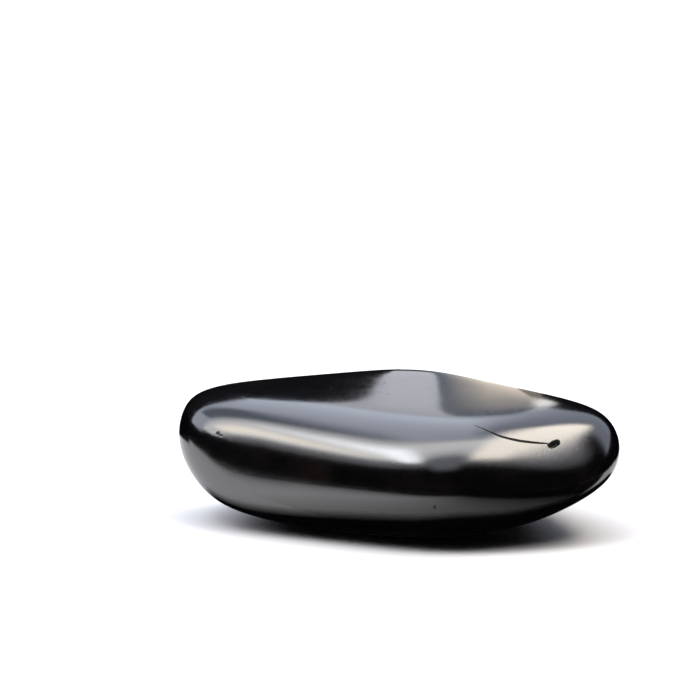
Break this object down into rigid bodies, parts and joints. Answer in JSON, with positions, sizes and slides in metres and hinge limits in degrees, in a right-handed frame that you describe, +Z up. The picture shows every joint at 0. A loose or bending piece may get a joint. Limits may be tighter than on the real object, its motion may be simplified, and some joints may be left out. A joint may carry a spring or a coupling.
{
  "type": "pebble",
  "caption": "Flat, palm-sized tumbled pebble of polished black shungite with softly worn flats, a small pit, a hairline crack and a flat resting spot.",
  "frame": {"origin": "under the middle of the pebble's box, on the surface that it rests on", "axes": "+X along the pebble's length, +Z up out of its broad top, and -Y towards the near side, which has the pit and the crack"},
  "size_m": [0.061, 0.0434, 0.0189],
  "materials": {
    "shungite": "tumble-polished, glassy to half-metallic black lustre with faint grey-brown clouding, fine scratches and pits"
  },
  "bodies": {
    "root": {"pebble": "shungite"}
  },
  "joints": []
}
